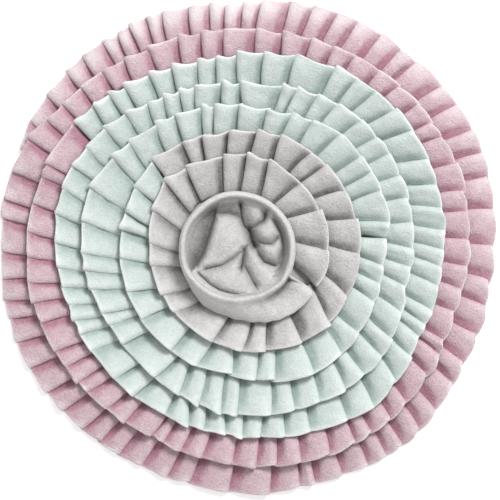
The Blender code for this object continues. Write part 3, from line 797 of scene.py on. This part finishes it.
def fleece_material(fleece, colour, group):
    values = {
        "Specular IOR Level": 0.15,
        "Sheen Weight": 0.25,
        "Sheen Roughness": 0.6,
        "Sheen Tint": (*colour, 1.0),
    }
    material, shader, where = new_material(fleece.title, values)
    tree = material.node_tree
    # The painted light and shade that each point of the cloth carries
    shade = add_node(tree, "ShaderNodeAttribute", attribute_name="fold_shade").outputs["Fac"]
    values = {
        "Vector": where,
        "Colour": (*colour, 1.0),
        "Fold colour": (*fleece.fold, 1.0),
        "Edge colour": (*[mix(c, 1.0, EDGE_LIGHT) for c in colour], 1.0),
        "Fold": shade,
        "Mottle": fleece.mottle,
    }
    pile = add_node(tree, "ShaderNodeGroup", values, node_tree=group).outputs
    feed(tree, shader, {
        "Base Color": pile["Colour"],
        "Roughness": pile["Roughness"],
        "Normal": bumped(tree, pile["Height"], 0.9, fleece.tooth * MM),
    })
    return material


def woven_material(name, colour):
    """Plain-woven backing cloth: two sets of fine threads crossing."""
    material, shader, where = new_material(name, {"Specular IOR Level": 0.2})
    tree = material.node_tree
    values = {"Vector": where, "Scale": 260.0, "Distortion": 0.4, "Detail": 1.0}
    threads = [
        add_node(tree, "ShaderNodeTexWave", values, bands_direction=direction).outputs["Fac"]
        for direction in ("X", "Y")
    ]
    crossed = worked_out(tree, "MAXIMUM", *threads)
    patchy = clouded(tree, where, 60.0, 4.0)
    amount = worked_out(tree, "MULTIPLY", crossed, patchy)
    dark, light = [0.72 * c for c in colour], [min(1.0, 1.25 * c) for c in colour]
    feed(tree, shader, {
        "Base Color": blended(tree, amount, (*dark, 1.0), (*light, 1.0)),
        "Roughness": ranged(tree, patchy, 0.75, 0.95),
        "Normal": bumped(tree, crossed, 0.5, 0.4 * MM),
    })
    return material


def floor_material():
    """Matt studio paper with a faint tooth."""
    values = {
        "Roughness": 0.95,
        "Specular IOR Level": 0.1,
        "Emission Color": (1.0, 1.0, 1.0, 1.0),
        "Emission Strength": 0.36,
    }
    material, shader, where = new_material("Studio paper", values)
    tree = material.node_tree
    dark, light = (0.93, 0.93, 0.93, 1.0), (0.96, 0.96, 0.96, 1.0)
    feed(tree, shader, {"Base Color": blended(tree, clouded(tree, where, 90.0), dark, light)})
    return material


# Round pieces


def disc_points(sides):
    """A square grid pulled round, as (x, y) within the unit circle, row by row."""
    points = []
    for j in range(sides + 1):
        for i in range(sides + 1):
            u, v = 2.0 * i / sides - 1.0, 2.0 * j / sides - 1.0
            if u == 0.0 and v == 0.0:
                points.append((0.0, 0.0))
            elif abs(u) >= abs(v):
                angle = math.pi / 4.0 * v / u
                points.append((u * math.cos(angle), u * math.sin(angle)))
            else:
                angle = math.pi / 4.0 * u / v
                points.append((v * math.sin(angle), v * math.cos(angle)))
    return points


def disc_border(sides):
    """Indices of the grid's border, counter-clockwise from its lower left corner."""
    across, corner = sides + 1, sides * (sides + 2)
    south, east = range(sides), range(sides, corner, across)
    north, west = range(corner, corner - sides, -1), range(sides * across, 0, -across)
    return [*south, *east, *north, *west]


def path_side_distance(x, y, path):
    """Distance from a point to a path, positive to its left."""
    best, side = math.inf, 1.0
    for (ax, ay), (bx, by) in zip(path, path[1:]):
        dx, dy = bx - ax, by - ay
        share = ((x - ax) * dx + (y - ay) * dy) / (dx * dx + dy * dy)
        share = min(1.0, max(0.0, share))
        away = math.hypot(x - ax - share * dx, y - ay - share * dy)
        if away < best:
            best = away
            side = 1.0 if dx * (y - ay) - dy * (x - ax) >= 0.0 else -1.0
    return best * side


def gathered_height(x, y):
    """Height of the gathered cloth inside the rosette's rim, and how deep in a crease it is."""
    height = CROWN_HEIGHT
    for lobe in LOBES:
        away = math.hypot(x - lobe.x, y - lobe.y) / lobe.reach
        height += lobe.height * math.exp(-away * away)
    trough = 0.0
    for crease in CREASES:
        away = path_side_distance(x, y, crease.path)
        width = crease.left if away >= 0.0 else crease.right
        trough = max(trough, crease.depth * math.exp(-((abs(away) / width) ** CREASE_POWER)))
    return height - trough, trough


def collar_at(angle):
    """The collar at an angle, eased from one row of its table to the next."""
    for low, high in zip(COLLAR, COLLAR[1:]):
        if low.angle <= angle < high.angle:
            share = ramp(angle, low.angle, high.angle)
            return Spread(*(mix(a, b, share) for a, b in zip(low, high)))
    return Spread(angle, 0.0, 0.0, 0.0)


def collar_point(ring, angle, scale):
    """One point of the collar's turned section, as (radius, height, painted shade)."""
    collar = collar_at(angle)
    skirt = ring.radius * scale + ring.flare * collar.reach
    skirt -= ring.lean * by_angle(RIM_LEANS, angle)
    skirt_height = ring.height + ring.rise * FLARE_RISE * min(1.0, collar.reach / FLARE_FULL)
    lain = skirt - (ring.flare - ring.lain) * collar.reach
    lain_height = ring.level - collar.drop * min(1.0, ring.lain * DROP_REACH)
    return (
        mix(skirt, lain, collar.lie),
        mix(skirt_height, lain_height, collar.lie),
        mix(ring.shade, ring.crease, collar.lie),
    )


def crown():
    """The gathered cloth inside the rim, as points and their painted shades."""
    places, shades = [], []
    hollow = RINGS[-1].radius - CROWN_IN
    for u, v in disc_points(DISC_SIDES):
        away = math.hypot(u, v)
        angle = math.degrees(math.atan2(v, u)) % 360.0
        pull = away**3 * by_angle(RIM_LEANS, angle) / hollow
        x, y = ROSETTE_X + hollow * u * (1.0 - pull), ROSETTE_Y + hollow * v * (1.0 - pull)
        height, trough = gathered_height(x, y)
        wall = WALL_SHARE * ramp(away, WALL_FROM, 1.0)
        height = mix(height, RINGS[-1].height - WALL_DROP, wall)
        height += ROSETTE_UNEVEN * ripple(x, y, 0.0, CROWN_DENT, seed=3.0)
        places.append((x * MM, y * MM, height * MM))
        # Painted shade: deeper inside the rim, and deeper down each crease
        shades.append(min(1.0, CROWN_SHADE + TROUGH_SHADE * trough))
    return places, shades


def add_rosette(sizes, material):
    """Turn the collar and the rim round the gathered crown."""
    scale = sizes.rosette_rim / MM / RIM_RADIUS
    points, shades = crown()
    faces = grid_faces(DISC_SIDES + 1, DISC_SIDES + 1)
    inner = disc_border(DISC_SIDES)
    count = len(inner)
    for ring in reversed(RINGS):
        outer = [len(points) + k for k in range(count)]
        for k in range(count):
            angle = math.radians(BORDER_ANGLE + 360.0 * k / count)
            radius, height, shade = collar_point(ring, math.degrees(angle) % 360.0, scale)
            u, v = math.cos(angle), math.sin(angle)
            radius += RIM_UNEVEN * ripple(RIM_READ_AT * u, RIM_READ_AT * v, 0.0, RIM_BEND, 4.0)
            x, y = radius * u, radius * v
            height += ROSETTE_UNEVEN * ripple(x, y, height, COLLAR_DENT, 2.0)
            points.append(((ROSETTE_X + x) * MM, (ROSETTE_Y + y) * MM, height * MM))
            shades.append(shade)
            after = (k + 1) % count
            faces.append((inner[k], outer[k], outer[after], inner[after]))
        inner = outer
    piece = cloth_object("rosette_fleece", points, faces, shades, sizes.cloth_thickness, material)
    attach(piece, BODY)
    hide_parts("rosette")


def add_backing(material):
    """Lay a round of cloth as thick and as wide as the base."""
    low, high = BACKING_BOX
    radius, thickness = high.x, high.z - low.z
    inset = radius - 0.5 * thickness
    level = low.z + 0.5 * thickness
    points = [(inset * u, inset * v, level) for u, v in disc_points(BACKING_SIDES)]
    shades = [0.0] * len(points)
    faces = grid_faces(BACKING_SIDES + 1, BACKING_SIDES + 1)
    piece = cloth_object("backing_cloth", points, faces, shades, thickness, material)
    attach(piece, BODY)
    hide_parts("base")


# The user's sizes and colours

COLOUR = {"subtype": "COLOR", "min": 0.0, "max": 1.0}


class FleeceSettings(PropertyGroup):
    cloth_thickness: FloatProperty(
        name="Cloth thickness", description="Thickness of the fleece", default=2.2 * MM,
        min=1.0 * MM, max=4.0 * MM, unit="LENGTH",
    )
    pleat_lift: FloatProperty(
        name="Pleat lift", description="Height of a pleat's fold over its foot",
        default=6.6 * MM, min=4.0 * MM, max=9.0 * MM, unit="LENGTH",
    )
    pink: FloatVectorProperty(
        name="Pink", description="Colour of the outer strip",
        default=(0.79, 0.63, 0.665), **COLOUR,
    )
    mint: FloatVectorProperty(
        name="Mint", description="Colour of the two middle strips",
        default=(0.735, 0.803, 0.778), **COLOUR,
    )
    grey: FloatVectorProperty(
        name="Grey", description="Colour of the inner strip and the rosette",
        default=(0.755, 0.74, 0.73), **COLOUR,
    )
    backing: FloatVectorProperty(
        name="Backing", description="Colour of the backing cloth",
        default=(0.52, 0.51, 0.49), **COLOUR,
    )
    rosette_rim: FloatProperty(
        name="Rosette radius", description="Radius of the rosette's collar",
        default=RIM_RADIUS * MM, min=50.0 * MM, max=62.0 * MM, unit="LENGTH",
    )


class StudioSettings(PropertyGroup):
    camera_height: FloatProperty(
        name="Camera height", description="Height of the camera over the floor",
        default=3.0, min=1.0, unit="LENGTH",
    )
    view_width: FloatProperty(
        name="View width", description="Width that the camera takes in at the mat",
        default=0.5, min=0.1, unit="LENGTH",
    )
    key_power: FloatProperty(
        name="Key light", description="Power of the large light, in watts", default=66.0,
        min=0.0, unit="POWER",
    )
    fill: FloatProperty(
        name="Fill", description="Strength of the light from all round", default=0.59,
        min=0.0,
    )


# Operators


class SNUFFLE_OT_backing(Operator):
    """Lay the round backing cloth"""

    bl_idname = "snuffle_mat.backing"
    bl_label = "Backing"

    def execute(self, context):
        add_backing(woven_material("Backing weave", context.scene.snuffle_fleece.backing))
        return {"FINISHED"}


class SNUFFLE_OT_ruffles(Operator):
    """Pleat the fleece strips and lay them along the spiral"""

    bl_idname = "snuffle_mat.ruffles"
    bl_label = "Ruffles"

    def execute(self, context):
        sizes = context.scene.snuffle_fleece
        spiral = Spiral(sizes)
        group = fleece_group()
        finishes = {
            slot: fleece_material(fleece, getattr(sizes, fleece.colour), group)
            for slot, fleece in FLEECES.items()
        }
        for number, strip in enumerate(STRIPS):
            add_ruffle(spiral, number, sizes, finishes[strip.slot])
        return {"FINISHED"}


class SNUFFLE_OT_rosette(Operator):
    """Coil the end of the last strip into the rosette"""

    bl_idname = "snuffle_mat.rosette"
    bl_label = "Rosette"

    def execute(self, context):
        add_rosette(context.scene.snuffle_fleece, bpy.data.materials["Grey fleece"])
        return {"FINISHED"}


class SNUFFLE_OT_stage(Operator):
    """Set up the floor, the soft lights and the camera"""

    bl_idname = "snuffle_mat.stage"
    bl_label = "Stage"

    def execute(self, context):
        studio = context.scene.snuffle_studio
        bpy.ops.object.select_all(action="DESELECT")
        bpy.ops.mesh.primitive_plane_add(size=FLOOR_SIDE, location=(0.0, 0.0, 0.0))
        floor = context.object
        floor.name = "floor"
        bpy.ops.object.transform_apply(location=True, rotation=True, scale=True)
        floor.data.transform(Matrix.Translation((0.0, 0.0, -FLOOR_DROP)))
        floor.data.materials.append(floor_material())

        bpy.ops.object.light_add(type="AREA", location=KEY_PLACE)
        key = context.object
        key.name = "key_light"
        key.data.shape = "DISK"
        key.data.size = KEY_SIZE
        key.data.energy = studio.key_power
        key.rotation_euler = (-Vector(KEY_PLACE)).to_track_quat("-Z", "Y").to_euler()

        world = bpy.data.worlds.new("Studio")
        world.use_nodes = True
        sky = world.node_tree.nodes["Background"]
        sky.inputs["Color"].default_value = (1.0, 1.0, 1.0, 1.0)
        sky.inputs["Strength"].default_value = studio.fill
        context.scene.world = world

        bpy.ops.object.camera_add(location=(*VIEW_CENTRE, studio.camera_height))
        camera = context.object
        camera.name = "camera"
        away = studio.camera_height - VIEW_LEVEL
        camera.data.lens = camera.data.sensor_width * away / studio.view_width
        camera.data.clip_start, camera.data.clip_end = 0.1, 50.0
        context.scene.camera = camera
        context.scene.view_settings.view_transform = "Standard"
        return {"FINISHED"}


class SNUFFLE_PT_panel(Panel):
    bl_label = "Snuffle mat"
    bl_idname = "SNUFFLE_PT_panel"
    bl_space_type = "VIEW_3D"
    bl_region_type = "UI"
    bl_category = "Snuffle mat"

    def draw(self, context):
        layout = self.layout
        for owner in (context.scene.snuffle_fleece, context.scene.snuffle_studio):
            box = layout.box()
            for name in owner.__annotations__:
                box.prop(owner, name)
        for operator in OPERATORS:
            layout.operator(operator.bl_idname)


OPERATORS = (SNUFFLE_OT_backing, SNUFFLE_OT_ruffles, SNUFFLE_OT_rosette, SNUFFLE_OT_stage)
CLASSES = (FleeceSettings, StudioSettings, *OPERATORS, SNUFFLE_PT_panel)


def register():
    for cls in CLASSES:
        bpy.utils.register_class(cls)
    bpy.types.Scene.snuffle_fleece = PointerProperty(type=FleeceSettings)
    bpy.types.Scene.snuffle_studio = PointerProperty(type=StudioSettings)


def unregister():
    del bpy.types.Scene.snuffle_studio
    del bpy.types.Scene.snuffle_fleece
    for cls in reversed(CLASSES):
        bpy.utils.unregister_class(cls)


def main():
    register()
    bpy.ops.snuffle_mat.backing()
    bpy.ops.snuffle_mat.ruffles()
    bpy.ops.snuffle_mat.rosette()
    bpy.ops.snuffle_mat.stage()


if __name__ == "__main__":
    main()
